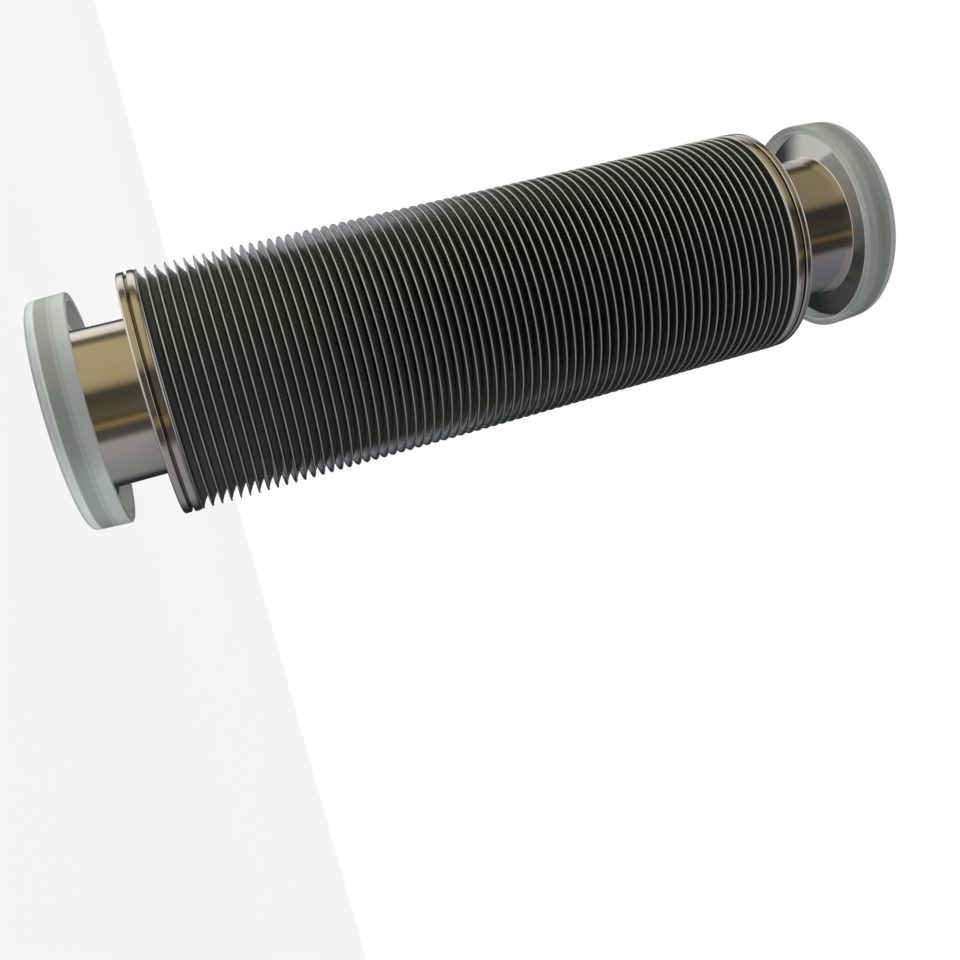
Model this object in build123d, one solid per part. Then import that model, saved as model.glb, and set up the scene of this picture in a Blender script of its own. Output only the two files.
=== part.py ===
from build123d import *
import math
import os

# Edge-welded vacuum bellows hose with a small-flange stub at each end and a push-on dust cap
# over each flange. Millimetres. +Z runs up the axis of the hose. The origin is the centre of
# the lower cap's outer face, which is the face that the hose stands on.

# Bellows: stamped ring diaphragms, welded in pairs at their inner and outer edges
convolutions = 68
convolution_pitch = 1.76
bellows_outer_r = 23.0
bellows_inner_r = 15.0
sheet = 0.15  # thickness of one diaphragm
bead_depth = 0.4  # how far each weld bead reaches in from its edge

# End ring: a turned plate. Its weld ridge carries the first diaphragm, and a groove parts the
# ridge from the outer lip, so that the heat of the weld stays in the ridge.
weld_ridge_width = 1.5
groove_width = 0.6
groove_depth = 0.8
ring_lip_width = 1.4
ring_lip_drop = 0.1  # how much smaller the lip's radius is than the ridge's
ring_edge_round = 0.25
weld_land_width = 1.2  # flat that the first diaphragm lies on
relief_depth = 0.4  # the ring's inner face is sunk inside that flat
socket_depth = 2.0  # how deep the neck sits in the ring
socket_clearance = 0.05

# Flange stub: neck and small flange, turned in one piece
neck_r = 14.8
bore_r = 12.0
flange_r = 20.0
flange_rim_width = 3.0
flange_taper_deg = 15.0  # slope of the flange's back, which the clamp pulls on
flange_edge_round = 0.3
centring_r = 13.1  # recess for the centring ring
centring_depth = 3.0
neck_root_round = 0.6
lower_stub_reach = 18.2  # from the diaphragm's weld plane to the flange's sealing face
upper_stub_reach = 23.1

# Dust cap: soft plastic cup, pushed over the flange's rim
cap_clearance = 0.08
cap_mouth_wall = 1.7
cap_draft = 0.4  # how much smaller the closed end's radius is than the mouth's
cap_end_wall = 1.3
cap_depth = 5.6  # inside, from the mouth to the end wall
cap_end_round = 1.0
cap_mouth_round = 0.3
cap_lead_in = 0.15

# Places along the axis that follow from the sizes above
bellows_length = convolutions * convolution_pitch
lower_weld_z = cap_end_wall + lower_stub_reach
upper_weld_z = lower_weld_z + bellows_length
ring_width = weld_ridge_width + groove_width + ring_lip_width
taper_width = (flange_r - neck_r) * math.tan(math.radians(flange_taper_deg))


def turned(section_points):
    """A solid turned about Z from a closed section given as (radius, height) points."""
    with BuildPart() as piece:
        with BuildSketch(Plane.XZ):
            with BuildLine():
                Polyline(*section_points, close=True)
            make_face()
        revolve(axis=Axis.Z)
    return piece.part


def edges_at(solid, radius, height):
    """The round edges of a turned solid at one radius and one height."""
    circles = solid.edges().filter_by(GeomType.CIRCLE)
    return circles.filter_by(
        lambda e: abs(e.radius - radius) < 1e-4 and abs(e.center().Z - height) < 1e-4
    )


def bellows():
    """All diaphragms as the one welded piece that they are, from z = 0 up.

    Between two crests the pair of sheets closes at the inner edge, so the outside is a V open
    to the air, and the inside is a V open to the vacuum, one sheet away.
    """
    air_side = [(bellows_outer_r, 0)]
    vacuum_side = [(bellows_outer_r - bead_depth, 0)]
    for turn in range(convolutions):
        crest = turn * convolution_pitch
        root = crest + convolution_pitch / 2
        next_crest = crest + convolution_pitch
        air_side += [
            (bellows_outer_r, crest + sheet),
            (bellows_inner_r + bead_depth, root),
            (bellows_outer_r, next_crest - sheet),
        ]
        vacuum_side += [
            (bellows_inner_r, root - sheet),
            (bellows_inner_r, root + sheet),
            (bellows_outer_r - bead_depth, next_crest),
        ]
    air_side.append((bellows_outer_r, bellows_length))
    return turned(air_side + vacuum_side[::-1])


def end_ring():
    """The turned plate at one end, from the weld plane at z = 0 outwards."""
    lip_r = bellows_outer_r - ring_lip_drop
    groove_r = bellows_outer_r - groove_depth
    land_r = bellows_outer_r - weld_land_width
    socket_r = neck_r + socket_clearance
    lip_z = weld_ridge_width + groove_width
    ring = turned(
        [
            (bore_r, relief_depth),
            (land_r, relief_depth),
            (land_r, 0),
            (bellows_outer_r, 0),
            (bellows_outer_r, weld_ridge_width),
            (groove_r, weld_ridge_width),
            (groove_r, lip_z),
            (lip_r, lip_z),
            (lip_r, ring_width),
            (socket_r, ring_width),
            (socket_r, ring_width - socket_depth),
            (bore_r, ring_width - socket_depth),
        ]
    )
    rounded = edges_at(ring, bellows_outer_r, weld_ridge_width)
    rounded += edges_at(ring, lip_r, lip_z)
    rounded += edges_at(ring, lip_r, ring_width)
    return fillet(rounded, ring_edge_round)


def flange_stub(reach):
    """Neck and flange in one turned piece, from the socket's floor out to the sealing face."""
    seat_z = ring_width - socket_depth
    taper_z = reach - flange_rim_width - taper_width
    stub = turned(
        [
            (bore_r, seat_z),
            (neck_r, seat_z),
            (neck_r, taper_z),
            (flange_r, reach - flange_rim_width),
            (flange_r, reach),
            (centring_r, reach),
            (centring_r, reach - centring_depth),
            (bore_r, reach - centring_depth),
        ]
    )
    stub = fillet(edges_at(stub, neck_r, taper_z), neck_root_round)
    rim = edges_at(stub, flange_r, reach - flange_rim_width) + edges_at(stub, flange_r, reach)
    return fillet(rim, flange_edge_round)


def dust_cap():
    """The cup with its closed end's outer face on z = 0 and its mouth up."""
    inner_r = flange_r + cap_clearance
    mouth_r = inner_r + cap_mouth_wall
    end_r = mouth_r - cap_draft
    height = cap_end_wall + cap_depth
    cap = turned(
        [
            (0, 0),
            (end_r, 0),
            (mouth_r, height),
            (inner_r, height),
            (inner_r, cap_end_wall),
            (0, cap_end_wall),
        ]
    )
    cap = fillet(edges_at(cap, end_r, 0), cap_end_round)
    cap = fillet(edges_at(cap, mouth_r, height), cap_mouth_round)
    return chamfer(edges_at(cap, inner_r, height), cap_lead_in)


def at_lower_end(piece):
    """Turn a piece that was made pointing outwards to point down from the lower weld plane."""
    return Pos(0, 0, lower_weld_z) * Rot(180, 0, 0) * piece


def at_upper_end(piece):
    return Pos(0, 0, upper_weld_z) * piece


nodes = {
    "lower_dust_cap": dust_cap(),
    "lower_flange_stub": at_lower_end(flange_stub(lower_stub_reach)),
    "lower_end_ring": at_lower_end(end_ring()),
    "bellows": Pos(0, 0, lower_weld_z) * bellows(),
    "upper_end_ring": at_upper_end(end_ring()),
    "upper_flange_stub": at_upper_end(flange_stub(upper_stub_reach)),
    "upper_dust_cap": at_upper_end(
        Pos(0, 0, upper_stub_reach + cap_end_wall) * Rot(180, 0, 0) * dust_cap()
    ),
}

os.makedirs("parts", exist_ok=True)
for name, solid in nodes.items():
    export_step(solid, f"parts/{name}.step")
    print(f"{name}: {solid.volume:.0f} mm3")
print(f"length over the caps: {upper_weld_z + upper_stub_reach + cap_end_wall:.2f} mm")
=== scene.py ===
# %% [markdown]
# # An edge-welded vacuum bellows hose
#
# The hose joins two vacuum lines and takes up the movement between them. Thin ring diaphragms
# are welded in pairs, sixty-eight times over, so the wall can be pushed together by nearly half
# its length. Each end is a turned ring and a neck with a small clamp flange, and each flange
# wears a soft push-on cap that keeps dust off its sealing face.
#
# The CAD model gives every piece its real size. This scene dresses those pieces: finer meshes
# for what the eye meets first, procedural finishes, plain light and a camera. Lengths in the
# cells are millimetres, and `MM` turns them into Blender's metres.

import math

import bmesh
import bpy
from mathutils import Matrix, Vector


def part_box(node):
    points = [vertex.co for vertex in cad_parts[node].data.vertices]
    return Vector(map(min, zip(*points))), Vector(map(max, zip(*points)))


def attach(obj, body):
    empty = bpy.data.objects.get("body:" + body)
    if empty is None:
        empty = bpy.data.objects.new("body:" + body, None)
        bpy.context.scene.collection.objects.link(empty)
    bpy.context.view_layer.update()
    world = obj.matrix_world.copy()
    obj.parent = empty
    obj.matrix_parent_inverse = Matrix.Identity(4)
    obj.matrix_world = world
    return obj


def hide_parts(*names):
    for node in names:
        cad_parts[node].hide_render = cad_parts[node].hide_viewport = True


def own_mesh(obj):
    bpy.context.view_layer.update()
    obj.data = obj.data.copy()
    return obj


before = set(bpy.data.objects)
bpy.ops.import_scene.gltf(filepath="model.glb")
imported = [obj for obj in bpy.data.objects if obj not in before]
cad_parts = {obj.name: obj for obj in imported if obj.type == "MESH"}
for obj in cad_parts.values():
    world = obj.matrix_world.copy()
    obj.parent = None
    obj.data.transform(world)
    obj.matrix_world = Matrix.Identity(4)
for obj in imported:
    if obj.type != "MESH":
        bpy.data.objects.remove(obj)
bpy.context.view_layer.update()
MM = 0.001

# %% [markdown]
# ## Places along the axis
#
# Every piece is turned about the same axis, +Z, so a height is all that places it. The heights
# are read off the CAD nodes instead of being typed again: the weld planes are the ends of the
# bellows, and the caps and flanges end where their solids do.

# %% Read the heights off the CAD nodes
def span(node):
    """Lowest and highest height of a CAD node, in millimetres."""
    low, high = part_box(node)
    return low.z / MM, high.z / MM


def radius_of(node):
    """Outer radius of a CAD node, in millimetres."""
    low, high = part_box(node)
    return (high.x - low.x) / 2 / MM


lower_weld_z, upper_weld_z = span("bellows")
lower_face_z, _ = span("lower_flange_stub")
_, upper_face_z = span("upper_flange_stub")
floor_z, lower_mouth_z = span("lower_dust_cap")
upper_mouth_z, top_z = span("upper_dust_cap")
bellows_r = radius_of("bellows")
flange_r = radius_of("lower_flange_stub")
cap_r = radius_of("lower_dust_cap")
print("weld planes:", round(lower_weld_z, 2), round(upper_weld_z, 2))
print("radii:", round(bellows_r, 2), round(flange_r, 2), round(cap_r, 2))

# %% [markdown]
# ## The lathe
#
# A turned or spun piece is its section, swept round the axis. A section is a list of
# `(radius, height, rounding)` points, and a rounding above zero replaces that corner with a
# small arc, since no machined or moulded edge is perfectly sharp. Small arcs matter more than
# anything else in close view, because they are what catches the light.

# %% Round the corners of a section
def rounded_section(points, steps=4):
    """The closed section as (radius, height) pairs, each corner with a rounding made an arc."""
    outline = []
    count = len(points)
    for i, (r, z, rounding) in enumerate(points):
        corner = Vector((r, z))
        if rounding <= 0:
            outline.append(corner)
            continue
        to_last = (Vector(points[i - 1][:2]) - corner).normalized()
        to_next = (Vector(points[(i + 1) % count][:2]) - corner).normalized()
        half_angle = to_last.angle(to_next) / 2
        reach = rounding / math.tan(half_angle)
        centre = corner + (to_last + to_next).normalized() * rounding / math.sin(half_angle)
        first = corner + to_last * reach - centre
        last = corner + to_next * reach - centre
        for step in range(steps + 1):
            outline.append(centre + first.slerp(last, step / steps) * rounding)
    return [(p.x, p.y) for p in outline]


rounded_square = rounded_section([(0, 0, 1), (4, 0, 1), (4, 4, 1), (0, 4, 1)])
print("points on a rounded square:", len(rounded_square))

# %% [markdown]
# Sweeping puts a ring of points round the axis for each point of the section, and four-sided
# faces join one ring to the next. On the axis a ring shrinks to a single point and its faces to
# triangles. Blender's Screw modifier sweeps a section too, but rings that are written out need
# no merging on the axis, and it is plain how many faces a piece will have.

# %% Sweep a section round the axis
def lathe(name, outline, segments=192, closed=True):
    """A mesh object turned about Z from an outline of (radius, height) pairs in millimetres."""
    mesh = bmesh.new()
    rings = []
    for r, z in outline:
        if r < 1e-6:
            rings.append([mesh.verts.new((0, 0, z * MM))])
            continue
        ring = []
        for s in range(segments):
            turn = 2 * math.pi * s / segments
            ring.append(mesh.verts.new((r * MM * math.cos(turn), r * MM * math.sin(turn), z * MM)))
        rings.append(ring)
    followers = rings[1:] + rings[:1] if closed else rings[1:]
    for here, there in zip(rings, followers):
        if len(here) == 1 and len(there) == 1:
            continue
        for s in range(segments):
            t = (s + 1) % segments
            corners = [here[s % len(here)], here[t % len(here)]]
            corners += [there[t % len(there)], there[s % len(there)]]
            mesh.faces.new(list(dict.fromkeys(corners)))
    bmesh.ops.recalc_face_normals(mesh, faces=mesh.faces)
    data = bpy.data.meshes.new(name)
    mesh.to_mesh(data)
    mesh.free()
    data.shade_smooth()
    piece = bpy.data.objects.new(name, data)
    bpy.context.scene.collection.objects.link(piece)
    return piece


# %% [markdown]
# Each finished piece rides on one body of the CAD model, so that it moves with that body's
# joint, and it takes the place of one plain CAD node. Smooth shading makes the turned walls look
# round. Edges sharper than 32 degrees are kept apart, so that the flats beside them stay flat.

# %% Hang a piece on its body
def crisp(piece, degrees=32):
    """Keeps the shading of edges sharper than this angle apart, so flats stay flat."""
    piece.data.set_sharp_from_angle(angle=math.radians(degrees))
    return piece


def dress(piece, body, node, material):
    """Hangs a finished piece on its CAD body, in place of its CAD node."""
    piece.data.materials.append(material)
    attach(piece, body)
    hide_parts(node)
    print(piece.name, "faces:", len(piece.data.polygons))
    return piece


# %% [markdown]
# ## A small kit for node materials
#
# The finishes are all procedural. They read the object's own coordinates, in metres, and turn
# them into radius and height, because lathe marks, weld beads and moulding marks on a turned
# piece all follow those two directions.

# %% Helpers that write and wire nodes
def new_material(name):
    """A material with a cleared tree and one Principled shader wired to its output."""
    material = bpy.data.materials.new(name)
    material.use_nodes = True
    tree = material.node_tree
    tree.nodes.clear()
    output = tree.nodes.new("ShaderNodeOutputMaterial")
    shader = tree.nodes.new("ShaderNodeBsdfPrincipled")
    tree.links.new(shader.outputs["BSDF"], output.inputs["Surface"])
    return material, tree, shader


def feed(tree, socket, value):
    """Wires an output to a socket, or writes a plain value on it."""
    if isinstance(value, bpy.types.NodeSocket):
        tree.links.new(value, socket)
    else:
        socket.default_value = value


def maths(tree, operation, first, second=0.0):
    """One step of arithmetic on sockets or plain numbers."""
    node = tree.nodes.new("ShaderNodeMath")
    node.operation = operation
    feed(tree, node.inputs[0], first)
    feed(tree, node.inputs[1], second)
    return node.outputs[0]


def ramp(tree, factor, stops):
    """A colour ramp from (position, (r, g, b)) stops."""
    node = tree.nodes.new("ShaderNodeValToRGB")
    elements = node.color_ramp.elements
    while len(elements) < len(stops):
        elements.new(0.5)
    for element, (position, colour) in zip(elements, stops):
        element.position = position
        element.color = (*colour, 1)
    feed(tree, node.inputs[0], factor)
    return node.outputs[0]


def stretch(tree, value, low, high):
    """The value mapped so that low becomes 0 and high becomes 1."""
    node = tree.nodes.new("ShaderNodeMapRange")
    feed(tree, node.inputs["Value"], value)
    node.inputs["From Min"].default_value = low
    node.inputs["From Max"].default_value = high
    return node.outputs["Result"]


def mixed(tree, share, under, over, blend="MIX"):
    """The under colour where share is 0 and the over colour where it is 1."""
    node = tree.nodes.new("ShaderNodeMix")
    node.data_type = "RGBA"
    node.blend_type = blend
    feed(tree, node.inputs["Factor"], share)
    feed(tree, node.inputs["A"], under)
    feed(tree, node.inputs["B"], over)
    return node.outputs["Result"]


# %% [markdown]
# Four more helpers read the place on a piece and break a finish up. Noise is what keeps a
# surface from looking like paint on glass, and bump lets that noise tilt the light a little
# without moving the surface.

# %% Helpers that read the place on a piece
def radius_and_height(tree):
    """Sockets for the distance from the axis and the height, in millimetres."""
    place = tree.nodes.new("ShaderNodeTexCoord").outputs["Object"]
    apart = tree.nodes.new("ShaderNodeSeparateXYZ")
    tree.links.new(place, apart.inputs[0])
    squares = [maths(tree, "MULTIPLY", apart.outputs[i], apart.outputs[i]) for i in (0, 1)]
    radius = maths(tree, "SQRT", maths(tree, "ADD", *squares))
    radius = maths(tree, "MULTIPLY", radius, 1000.0)
    height = maths(tree, "MULTIPLY", apart.outputs[2], 1000.0)
    return radius, height, place


def noise(tree, vector, scale, detail, roughness=0.5):
    """Soft noise from 0 to 1. A larger scale gives finer noise."""
    node = tree.nodes.new("ShaderNodeTexNoise")
    feed(tree, node.inputs["Vector"], vector)
    node.inputs["Scale"].default_value = scale
    node.inputs["Detail"].default_value = detail
    node.inputs["Roughness"].default_value = roughness
    return node.outputs["Fac"]


def joined(tree, x, y):
    """Two numbers as one vector, for a noise that varies along those two only."""
    node = tree.nodes.new("ShaderNodeCombineXYZ")
    for socket, value in zip(node.inputs, (x, y)):
        feed(tree, socket, value)
    return node.outputs[0]


def bump(tree, height, distance, strength):
    """A normal that is tilted as if the surface rose and fell by the distance in metres."""
    node = tree.nodes.new("ShaderNodeBump")
    node.inputs["Strength"].default_value = strength
    node.inputs["Distance"].default_value = distance
    feed(tree, node.inputs["Height"], height)
    return node.outputs["Normal"]


# %% [markdown]
# ## Turned stainless steel
#
# Rings, necks and flanges come off a lathe, and the tool leaves a fine helical furrow that reads
# as hair-thin rings. Noise that depends only on radius and height gives exactly that: constant
# round the axis, busy across it. Under the furrows the steel is nearly even, with faint smudges
# from hands, so the base comes first.

# %% Turned steel and its smudges
turned_steel, tree, shader = new_material("turned_steel")
radius, height, place = radius_and_height(tree)
smudges = noise(tree, place, 90.0, detail=3.0)
clean = ramp(tree, smudges, [(0.3, (0.58, 0.57, 0.55)), (0.7, (0.66, 0.65, 0.63))])
shader.inputs["Metallic"].default_value = 1.0
print(turned_steel.name, "base nodes:", len(tree.nodes))

# %% [markdown]
# Painted shade darkens the groove of each end ring, where little light reaches. Two masks find it:
# one along the axis, which is 1 between the groove's walls, and one along the radius, which is 1
# below its edge. Only where both are 1 does the dark brown painted shade replace the plain steel.

# %% Painted shade in the grooves
RIDGE_END = 1.5
GROOVE_END = 2.1
groove_middle = (RIDGE_END + GROOVE_END) / 2
groove_half = (GROOVE_END - RIDGE_END) / 2
from_lower = maths(tree, "SUBTRACT", height, lower_weld_z - groove_middle)
from_upper = maths(tree, "SUBTRACT", height, upper_weld_z + groove_middle)
from_nearest = maths(
    tree, "MINIMUM", maths(tree, "ABSOLUTE", from_lower), maths(tree, "ABSOLUTE", from_upper)
)
in_groove = stretch(tree, from_nearest, groove_half + 0.08, groove_half - 0.02)
sunk = stretch(tree, radius, bellows_r - 0.2, bellows_r - 0.5)
groove_painted_shade = maths(tree, "MULTIPLY", in_groove, sunk)
# Painted shade: dark brown where the groove's own shade falls.
feed(tree, shader.inputs["Base Color"], mixed(tree, groove_painted_shade, clean, (0.16, 0.13, 0.10, 1)))
print("groove from", RIDGE_END, "to", GROOVE_END, "mm behind the weld plane")

# %% [markdown]
# The furrows go into the roughness and the bump. They lie round the axis, so the tangent runs
# round Z and the highlights stretch along the piece.

# %% Furrows of the tool
furrows = noise(tree, joined(tree, radius, height), 9.0, detail=3.0, roughness=0.7)
furrow_dulling = maths(tree, "MULTIPLY", furrows, 0.08)
feed(tree, shader.inputs["Roughness"], maths(tree, "ADD", furrow_dulling, 0.08))
feed(tree, shader.inputs["Normal"], bump(tree, furrows, 0.00001, 0.35))
shader.inputs["Anisotropic"].default_value = 0.3
tangent = tree.nodes.new("ShaderNodeTangent")
tangent.direction_type = "RADIAL"
tangent.axis = "Z"
feed(tree, shader.inputs["Tangent"], tangent.outputs[0])
print(turned_steel.name, "nodes in all:", len(tree.nodes))

# %% [markdown]
# ## Welded diaphragms
#
# Light that enters a deep V between two diaphragms is swallowed, and only the weld beads at the
# crests stay bright. The gaps do most of that by themselves. The base colour adds painted shade:
# it darkens with depth, towards the deep gaps, so radius drives the colour.

# %% Diaphragm steel
SHEET_REACH = 8.0
diaphragm_steel, tree, shader = new_material("diaphragm_steel")
radius, _, place = radius_and_height(tree)
outwards_share = stretch(tree, radius, bellows_r - SHEET_REACH, bellows_r)
# Painted shade: the base colour darkens from the beads towards the root of the gaps.
shade_by_depth = ramp(
    tree,
    outwards_share,
    [
        (0.0, (0.24, 0.25, 0.21)),
        (0.8, (0.33, 0.34, 0.30)),
        (0.93, (0.42, 0.43, 0.41)),
        (0.975, (0.56, 0.56, 0.55)),
        (0.985, (0.58, 0.59, 0.57)),
    ],
)
feed(tree, shader.inputs["Base Color"], shade_by_depth)
print(diaphragm_steel.name, "from radius", round(bellows_r - SHEET_REACH, 2), "mm outwards")

# %% [markdown]
# The crests are bright metal. Deeper in, a skin of oxide makes the sheet a little less metallic,
# which also keeps the deep gaps from going quite black: light that bounces between two mirrors
# is lost, and light that a dull skin scatters is not. The weld beads are rougher than the
# rolled sheet right beside them.

# %% Sheen from the root to the weld bead
metal_stops = [(0.75, (0.68, 0.68, 0.68)), (0.93, (0.95, 0.95, 0.95))]
feed(tree, shader.inputs["Metallic"], ramp(tree, outwards_share, metal_stops))
grain = noise(tree, place, 900.0, detail=3.0)
polish = ramp(
    tree,
    outwards_share,
    [
        (0.0, (0.34, 0.34, 0.34)),
        (0.62, (0.24, 0.24, 0.24)),
        (0.8, (0.08, 0.08, 0.08)),
        (0.965, (0.06, 0.06, 0.06)),
        (0.985, (0.30, 0.30, 0.30)),
    ],
)
grain_dulling = maths(tree, "MULTIPLY", grain, 0.10)
feed(tree, shader.inputs["Roughness"], maths(tree, "ADD", grain_dulling, polish))
feed(tree, shader.inputs["Normal"], bump(tree, grain, 0.00004, 0.25))
print(diaphragm_steel.name, "nodes:", len(tree.nodes))

# %% [markdown]
# ## Milky cap plastic
#
# The caps are moulded in soft polyethylene, which is cloudy: light goes in, scatters and comes
# out dimmer. A ramp along the height paints light and shade into the wall: palest at the closed
# end, where light comes through and nothing stands behind it, painted darkest over the steel rim,
# whose dark shows through, with one thin pale line where a moulding mark runs round, and pale
# again at the mouth, past the rim. Transmission with a high roughness gives the cloud.

# %% Painted light and shade along a cap
BANDS_REACH = 7.0
cap_plastic, tree, shader = new_material("cap_plastic")
radius, height, place = radius_and_height(tree)
from_floor = maths(tree, "SUBTRACT", height, floor_z)
from_top = maths(tree, "SUBTRACT", top_z, height)
from_end = stretch(tree, maths(tree, "MINIMUM", from_floor, from_top), 0.0, BANDS_REACH)
# Painted light and shade: light coming through at the closed end and mouth, the steel rim's shade over
# the middle.
see_through_light_and_shade = ramp(
    tree,
    from_end,
    [
        (0.0, (0.95, 0.97, 0.97)),
        (0.23, (0.93, 0.96, 0.95)),
        (0.27, (0.345, 0.38, 0.36)),
        (0.55, (0.365, 0.395, 0.375)),
        (0.60, (0.52, 0.55, 0.53)),
        (0.65, (0.42, 0.45, 0.43)),
        (0.69, (0.56, 0.59, 0.565)),
        (1.0, (0.58, 0.61, 0.59)),
    ],
)
print(cap_plastic.name, "bands over", BANDS_REACH, "mm from each closed end")

# %% [markdown]
# A faint haze makes the cloud uneven. The inner wall is set paler than the outer one, because
# there the light has come through the plastic and nothing dark stands right behind it.

# %% Haze, inner wall and skin
cloud = noise(tree, place, 160.0, detail=3.0)
haze = ramp(tree, cloud, [(0.3, (0.90, 0.90, 0.90)), (0.7, (1.0, 1.0, 1.0))])
outer_wall = mixed(tree, 1.0, see_through_light_and_shade, haze, blend="MULTIPLY")
inwards_share = stretch(tree, radius, flange_r + 0.7, flange_r + 0.2)
colour = mixed(tree, inwards_share, outer_wall, (0.92, 0.95, 0.95, 1))
feed(tree, shader.inputs["Base Color"], colour)
shader.inputs["Roughness"].default_value = 0.36
shader.inputs["IOR"].default_value = 1.42
shader.inputs["Transmission Weight"].default_value = 0.55
skin = noise(tree, place, 1400.0, detail=2.0)
feed(tree, shader.inputs["Normal"], bump(tree, skin, 0.00003, 0.4))
print(cap_plastic.name, "nodes:", len(tree.nodes))

# %% [markdown]
# ## The bellows
#
# Sixty-eight crests, one every 1.76 mm. Each crest is a weld bead that melts two diaphragm edges
# into a round rope of metal a third of a millimetre across. Behind it the two sheets lean
# together towards the upper end, then run inwards and meet their neighbours in another bead at
# the inner edge. The solid's sheets are straight. The lean is a choice for the look: it closes
# the view, so that from the side light shows between two crests only in the outermost three
# millimetres or so.
#
# One convolution is drawn once as a short outline and repeated. Near the upper ring the lean
# fades, because the last diaphragm lies flat on the ring's land.

# %% The bellows' section
CONVOLUTIONS = 68
BEAD_REACH = 0.4
pitch = (upper_weld_z - lower_weld_z) / CONVOLUTIONS
crest_r = bellows_r
root_r = bellows_r - SHEET_REACH + BEAD_REACH

# How far in from the crest, half the thickness of the pair there, and how far the pair leans
WALL = [
    (0.05, 0.10, 0.0),
    (0.20, 0.15, 0.0),
    (0.42, 0.15, 0.02),
    (1.30, 0.27, 0.35),
    (2.70, 0.41, 1.20),
    (4.60, 0.60, 1.05),
]
ROOT_SHIFT = 0.8
LEAST_LEAN = 0.30


def outer_convolution(z, lean):
    """Outline of one convolution from the crest at height z up to just before the next one."""
    upwards = [(crest_r - depth, z + half + lean * shift) for depth, half, shift in WALL]
    after = z + pitch
    downwards = [(crest_r - depth, after - half + lean * shift) for depth, half, shift in WALL]
    root = (root_r, z + pitch / 2 + lean * ROOT_SHIFT)
    return [(crest_r, z), *upwards, root, *downwards[::-1]]


print("pitch:", round(pitch, 3), "mm, points in one convolution:", len(outer_convolution(0, 1.0)))

# %% [markdown]
# The section of the whole wall is one convolution after another. It is swept without closing
# it, because the inner side of the wall is out of sight behind the neck and the rings, and 96
# segments round the axis are enough for an edge that is seen as a thin line.

# %% Stack the convolutions
outside = []
for n in range(CONVOLUTIONS):
    crests_above = CONVOLUTIONS - 1 - n
    lean = min(1.0, LEAST_LEAN + 0.14 * crests_above)
    outside += outer_convolution(lower_weld_z + n * pitch, lean)
outside.append((crest_r, upper_weld_z))
bellows = lathe("bellows_wall", outside, segments=96, closed=False)
dress(bellows, "lower_end", "bellows", diaphragm_steel)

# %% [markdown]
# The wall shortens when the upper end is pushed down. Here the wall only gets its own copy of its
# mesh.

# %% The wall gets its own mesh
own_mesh(bellows)

# %% [markdown]
# ## End rings
#
# Each end ring carries the first or last diaphragm on a narrow ridge. A groove behind the ridge
# keeps the heat of the weld out of the rest of the ring, and behind the groove stands a lip.
# From the side that gives three bands: bright ridge, dark groove, bright lip. The neck of the
# flange stub stands in a socket in the ring, so ring and stub share a bore and a neck radius.

# %% Sizes that the rings and stubs share
BORE_R = 12.0
NECK_R = 14.8
SOCKET_FLOOR = 1.5
print("wall of the neck:", round(NECK_R - BORE_R, 2), "mm")

# %% [markdown]
# The ridge's top is slightly bowed, since the weld has melted its edge, and a bowed strip shows
# a soft gradient where a flat one would show a single tone. It is drawn as six points. The
# groove's and the lip's corners are rounded by the cutting tool.

# %% The two end rings
LAND_R = 21.8
LAND_RELIEF = 0.4
GROOVE_R = 22.2
LIP_R = 22.9
RING_WIDTH = 3.5
SOCKET_R = NECK_R + 0.05

# Radius and distance from the weld plane along the ridge's bowed top
RIDGE_TOP = [(22.66, 0.0), (22.84, 0.3), (22.97, 0.58), (23.0, 0.82), (22.99, 1.2), (22.98, RIDGE_END)]


def ring_outline(weld_z, outwards):
    """Section of an end ring. outwards is +1 for the upper ring and -1 for the lower one."""
    section = [(BORE_R, LAND_RELIEF, 0), (LAND_R, LAND_RELIEF, 0), (LAND_R, 0.0, 0)]
    section += [(r, z, 0) for r, z in RIDGE_TOP]
    section += [
        (GROOVE_R, RIDGE_END, 0.12),
        (GROOVE_R, GROOVE_END, 0.12),
        (LIP_R, GROOVE_END, 0.25),
        (LIP_R, RING_WIDTH, 0.35),
        (SOCKET_R, RING_WIDTH, 0.08),
        (SOCKET_R, SOCKET_FLOOR, 0),
        (BORE_R, SOCKET_FLOOR, 0),
    ]
    return [(r, weld_z + outwards * z) for r, z in rounded_section(section)]


lower_ring = crisp(lathe("lower_ring", ring_outline(lower_weld_z, -1)))
upper_ring = crisp(lathe("upper_ring", ring_outline(upper_weld_z, 1)))
dress(lower_ring, "lower_end", "lower_end_ring", turned_steel)
dress(upper_ring, "upper_end", "upper_end_ring", turned_steel)

# %% [markdown]
# ## Necks and flanges
#
# Neck and flange are one turned piece. The back of the flange slopes at fifteen degrees, which
# is the slope that a clamp pulls on, and the face has a recess for the centring ring.

# %% The two flange stubs
RIM_WIDTH = 3.0
BACK_SLOPE = 15.0
RECESS_R = 13.1
RECESS_DEPTH = 3.0


def stub_outline(weld_z, face_z, outwards):
    """Section of a stub between the ring's socket and the sealing face."""
    reach = abs(face_z - weld_z)
    rim_z = reach - RIM_WIDTH
    taper_z = rim_z - (flange_r - NECK_R) * math.tan(math.radians(BACK_SLOPE))
    section = [
        (BORE_R, SOCKET_FLOOR, 0),
        (NECK_R, SOCKET_FLOOR, 0),
        (NECK_R, taper_z, 0.3),
        (flange_r, rim_z, 0.3),
        (flange_r, reach, 0.3),
        (RECESS_R, reach, 0.15),
        (RECESS_R, reach - RECESS_DEPTH, 0),
        (BORE_R, reach - RECESS_DEPTH, 0.15),
    ]
    return [(r, weld_z + outwards * z) for r, z in rounded_section(section)]


lower_stub = crisp(lathe("lower_stub", stub_outline(lower_weld_z, lower_face_z, -1)))
upper_stub = crisp(lathe("upper_stub", stub_outline(upper_weld_z, upper_face_z, 1)))
dress(lower_stub, "lower_end", "lower_flange_stub", turned_steel)
dress(upper_stub, "upper_end", "upper_flange_stub", turned_steel)

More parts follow.
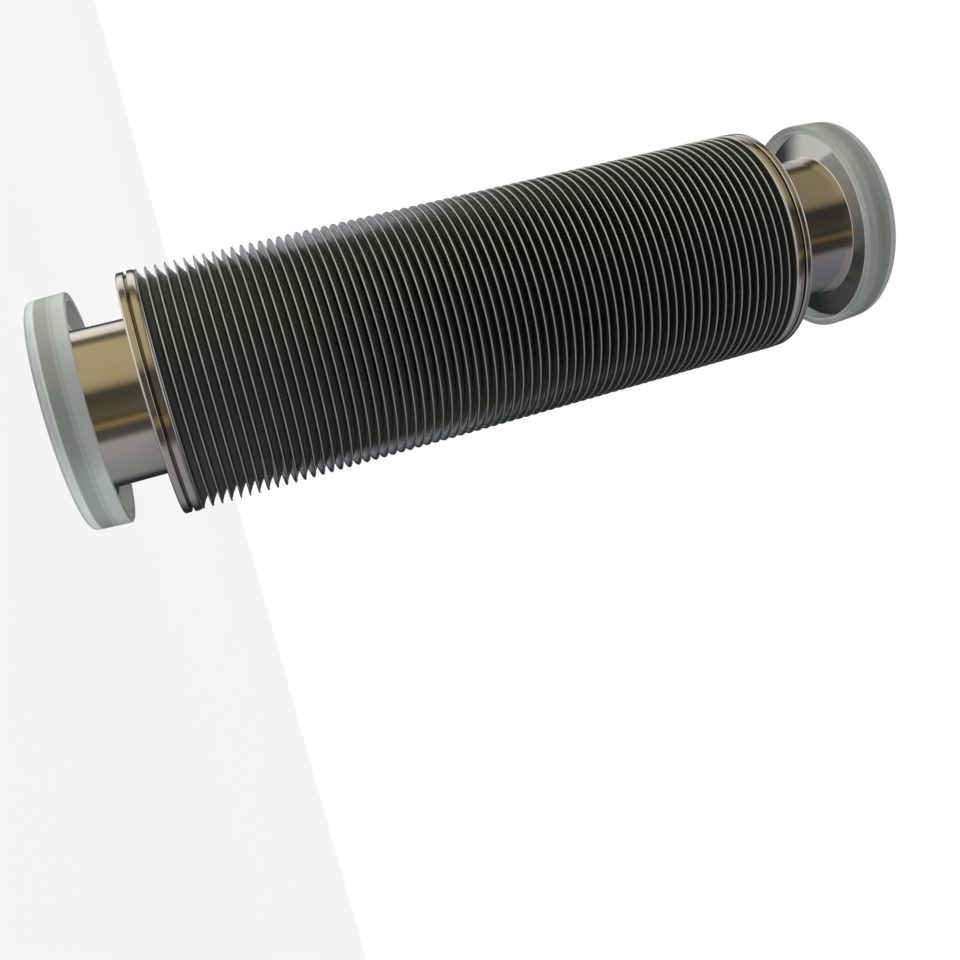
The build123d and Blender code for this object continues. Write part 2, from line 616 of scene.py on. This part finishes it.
# %% [markdown]
# ## Dust caps
#
# A cap is a shallow moulded cup. Its wall leans in by less than half a millimetre so that it
# leaves the mould, and it slips over the flange's rim with a small clearance.
#
# The caps are left out of reflections. Each one stands right beside a polished neck and flange,
# and its milky mirror image would wash out the stripes that make those look like metal.

# %% The two dust caps
CAP_DRAFT = 0.4
CAP_CLEARANCE = 0.08
END_WALL = 1.3


def cap_outline(end_z, mouth_z):
    """Section of a cap from its closed end to its mouth."""
    inwards = 1 if mouth_z > end_z else -1
    height = abs(mouth_z - end_z)
    inner_r = flange_r + CAP_CLEARANCE
    section = [
        (0, 0.0, 0),
        (cap_r - CAP_DRAFT, 0.0, 1.0),
        (cap_r, height, 0.3),
        (inner_r, height, 0.15),
        (inner_r, END_WALL, 0.2),
        (0, END_WALL, 0),
    ]
    return [(r, end_z + inwards * z) for r, z in rounded_section(section, steps=6)]


lower_cap = crisp(lathe("lower_cap_cup", cap_outline(floor_z, lower_mouth_z)))
upper_cap = crisp(lathe("upper_cap_cup", cap_outline(top_z, upper_mouth_z)))
dress(lower_cap, "lower_cap", "lower_dust_cap", cap_plastic)
dress(upper_cap, "upper_cap", "upper_dust_cap", cap_plastic)
lower_cap.visible_glossy = False
upper_cap.visible_glossy = False

# %% [markdown]
# ## Floor
#
# The hose stands on a plain pale floor. To the camera the floor is mostly an even pale tone,
# which Light Path's camera ray mixes in. The rest is the light that falls on it, and so the
# hose's shadow is there but faint. Metal doesn't mirror the floor, since the painted studio
# stands in for everything that metal sees.

# %% Floor
bpy.ops.mesh.primitive_plane_add(size=6, location=(0, 0, floor_z * MM - 0.0001))
floor = bpy.context.object
floor.name = "studio_floor"
floor_paint, tree, shader = new_material("floor_paint")
shader.inputs["Base Color"].default_value = (0.86, 0.86, 0.86, 1)
shader.inputs["Roughness"].default_value = 0.9
shader.inputs["Specular IOR Level"].default_value = 0.1
glow = tree.nodes.new("ShaderNodeEmission")
lit_or_even = tree.nodes.new("ShaderNodeMixShader")
ray = tree.nodes.new("ShaderNodeLightPath")
feed(tree, lit_or_even.inputs[0], maths(tree, "MULTIPLY", ray.outputs["Is Camera Ray"], 0.86))
feed(tree, lit_or_even.inputs[1], shader.outputs[0])
feed(tree, lit_or_even.inputs[2], glow.outputs[0])
output = next(n for n in tree.nodes if n.type == "OUTPUT_MATERIAL")
feed(tree, output.inputs["Surface"], lit_or_even.outputs[0])
floor.data.materials.append(floor_paint)
floor.visible_glossy = False
print("floor at", round(floor.location.z / MM, 2), "mm")

# %% [markdown]
# ## The studio round the hose
#
# The world is white to the camera and through the caps. Polished metal shows whatever stands
# round it, and in a plain white room it would look like plaster. So reflected rays see a painted
# studio instead. Square to the axis stands a ring of pale and dim walls, which the necks show as
# stripes. The direction round the axis, from 0 to 1, drives a ramp of wall colours.

# %% Walls square to the axis
world = bpy.data.worlds.new("studio")
bpy.context.scene.world = world
world.use_nodes = True
tree = world.node_tree
tree.nodes.clear()
output = tree.nodes.new("ShaderNodeOutputWorld")
apart = tree.nodes.new("ShaderNodeSeparateXYZ")
tree.links.new(tree.nodes.new("ShaderNodeTexCoord").outputs["Generated"], apart.inputs[0])
turn = maths(tree, "ARCTAN2", apart.outputs[1], apart.outputs[0])
turn = stretch(tree, turn, -math.pi, math.pi)
room = ramp(
    tree,
    turn,
    [
        (0.0, (0.60, 0.49, 0.27)),
        (0.17, (0.56, 0.45, 0.25)),
        (0.195, (0.30, 0.25, 0.14)),
        (0.21, (0.07, 0.066, 0.045)),
        (0.27, (0.10, 0.09, 0.06)),
        (0.30, (0.13, 0.11, 0.07)),
        (0.32, (0.07, 0.065, 0.045)),
        (0.335, (0.36, 0.26, 0.09)),
        (0.355, (0.08, 0.065, 0.055)),
        (0.39, (0.10, 0.09, 0.085)),
        (0.41, (0.43, 0.40, 0.40)),
        (0.50, (0.36, 0.35, 0.37)),
        (0.60, (0.30, 0.31, 0.31)),
        (0.66, (0.03, 0.032, 0.035)),
        (0.755, (0.025, 0.027, 0.03)),
        (0.772, (0.42, 0.42, 0.47)),
        (0.792, (0.44, 0.44, 0.50)),
        (0.802, (0.05, 0.05, 0.055)),
        (0.845, (0.06, 0.06, 0.06)),
        (0.865, (0.9, 0.9, 0.86)),
        (0.89, (1.2, 1.16, 1.04)),
        (0.93, (1.0, 0.94, 0.80)),
        (0.952, (0.16, 0.12, 0.07)),
        (0.975, (0.18, 0.14, 0.08)),
        (1.0, (0.60, 0.49, 0.27)),
    ],
)
print("wall colours round the axis are set")

# %% [markdown]
# Directions near the axis see a window at either end, and those are what the weld beads and the
# small roundings catch. The lower window is also what the sloped back of the upper flange
# shows, so it has dark and bright parts as well.

# %% Windows near the axis
upper_window = ramp(
    tree,
    turn,
    [
        (0.0, (1.1, 1.08, 1.0)),
        (0.25, (0.75, 0.76, 0.72)),
        (0.5, (0.32, 0.33, 0.34)),
        (0.7, (0.05, 0.05, 0.05)),
        (0.85, (0.5, 0.5, 0.52)),
        (1.0, (1.1, 1.08, 1.0)),
    ],
)
lower_window = ramp(
    tree,
    turn,
    [
        (0.0, (1.25, 1.24, 1.18)),
        (0.25, (0.72, 0.73, 0.7)),
        (0.5, (0.45, 0.46, 0.46)),
        (0.6, (0.12, 0.12, 0.12)),
        (0.68, (0.07, 0.07, 0.075)),
        (0.755, (0.03, 0.03, 0.02)),
        (0.77, (0.28, 0.25, 0.11)),
        (0.785, (0.34, 0.36, 0.32)),
        (0.81, (0.42, 0.45, 0.44)),
        (0.823, (0.72, 0.75, 0.73)),
        (0.9, (0.9, 0.9, 0.87)),
        (1.0, (1.25, 1.24, 1.18)),
    ],
)
print("windows are set")

# %% [markdown]
# The height of the direction sorts the layers. The walls get dimmer a little way up, the upper
# window begins above them and the lower window below them. Light Path then sorts the rays:
# reflected ones see the studio, the camera and rays through the caps see white, and all the rest
# get a soft grey light.

# %% Put the studio together
upwards = apart.outputs[2]
dimmer_up = stretch(tree, upwards, 0.2, 0.5)
walls = mixed(tree, dimmer_up, room, (0.5, 0.52, 0.56, 1), blend="MULTIPLY")
above_walls = stretch(tree, upwards, 0.63, 0.70)
below_walls = stretch(tree, upwards, -0.25, -0.45)
studio = mixed(tree, below_walls, mixed(tree, above_walls, walls, upper_window), lower_window)


def background(tree, colour):
    """Light of this colour from every direction."""
    node = tree.nodes.new("ShaderNodeBackground")
    feed(tree, node.inputs["Color"], colour)
    return node.outputs[0]


def chosen(tree, share, first, second):
    """The first shader where share is 0 and the second where it is 1."""
    node = tree.nodes.new("ShaderNodeMixShader")
    feed(tree, node.inputs[0], share)
    feed(tree, node.inputs[1], first)
    feed(tree, node.inputs[2], second)
    return node.outputs[0]


ray = tree.nodes.new("ShaderNodeLightPath")
soft_grey = background(tree, (0.42, 0.42, 0.43, 1))
white = background(tree, (1, 1, 1, 1))
lit = chosen(tree, ray.outputs["Is Glossy Ray"], soft_grey, background(tree, studio))
sees_white = maths(tree, "MAXIMUM", ray.outputs["Is Camera Ray"], ray.outputs["Is Transmission Ray"])
feed(tree, output.inputs["Surface"], chosen(tree, sees_white, lit, white))
print(world.name, "nodes:", len(tree.nodes))

# %% [markdown]
# ## Lamps
#
# A broad soft lamp and a smaller one stand on the lit side. None of the lamps shows as a spot in
# polished metal, because the painted studio already gives the metal its highlights.

# %% Soft lamps
def soft_lamp(name, place, target, size, power, colour):
    """A square area lamp at a place in millimetres that faces a height on the axis."""
    data = bpy.data.lights.new(name, "AREA")
    data.shape = "SQUARE"
    data.size = size
    data.energy = power
    data.color = colour
    lamp = bpy.data.objects.new(name, data)
    bpy.context.scene.collection.objects.link(lamp)
    lamp.location = Vector(place) * MM
    away = Vector(place) - Vector((0, 0, target))
    lamp.rotation_mode = "QUATERNION"
    lamp.rotation_quaternion = away.to_track_quat("Z", "Y")
    lamp.visible_glossy = False
    print(name, "stands", round(away.length), "mm away")
    return lamp


middle = (floor_z + top_z) / 2
soft_lamp("broad_lamp", (-850, -270, 250), middle, 0.5, 1.7, (1.0, 0.99, 0.97))
soft_lamp("far_lamp", (-670, 430, 200), middle, 0.2, 0.8, (1.0, 0.98, 0.94))

# %% [markdown]
# Two small lamps close to the lower end lift its cap, which is the piece nearest the eye. They
# stand so low that they would burn two white pools into the floor, so light linking lets them
# reach the hose alone.

# %% Side lamps for the lower end
lit_pieces = bpy.data.collections.new("lit_by_side_lamps")
for piece in (lower_cap, lower_stub, lower_ring, bellows, upper_ring, upper_stub, upper_cap):
    lit_pieces.objects.link(piece)

cool = (0.98, 1.0, 1.0)
cooler = (0.97, 1.0, 1.0)
upper_side = soft_lamp("upper_side_lamp", (-110, -40, 12), lower_mouth_z, 0.05, 0.13, cool)
lower_side = soft_lamp("lower_side_lamp", (110, -45, 12), lower_mouth_z, 0.05, 0.11, cooler)
for lamp in (upper_side, lower_side):
    lamp.light_linking.receiver_collection = lit_pieces

# %% [markdown]
# ## Camera
#
# The camera stands close, about 180 mm from the wall and a little above the lower ring, and it
# is rolled so that the axis runs across the frame. Being so near, it sees the lower crests
# nearly edge-on and the upper ones from below. Its three directions are right, up and back as
# seen from behind it. They and its place make up its matrix.

# %% Camera
camera_data = bpy.data.cameras.new("camera")
camera_data.sensor_width = 36.0
camera_data.lens = 38.61
camera_data.shift_x = -0.0046
camera_data.shift_y = -0.0605
camera_data.clip_start = 0.01
camera_data.clip_end = 20
camera = bpy.data.objects.new("camera", camera_data)
bpy.context.scene.collection.objects.link(camera)
right = Vector((0.27263, -0.22789, 0.93474))
up = Vector((-0.96211, -0.06458, 0.26487))
back = Vector((0.0, -0.97154, -0.23686))
spot = Vector((21.62, -199.13, 27.16)) * MM
camera.matrix_world = Matrix(
    [
        (right.x, up.x, back.x, spot.x),
        (right.y, up.y, back.y, spot.y),
        (right.z, up.z, back.z, spot.z),
        (0, 0, 0, 1),
    ]
)
bpy.context.scene.camera = camera
bpy.context.scene.view_settings.view_transform = "Standard"
print("camera stands", round(math.hypot(*(spot / MM)[:2]) - bellows_r), "mm from the wall")
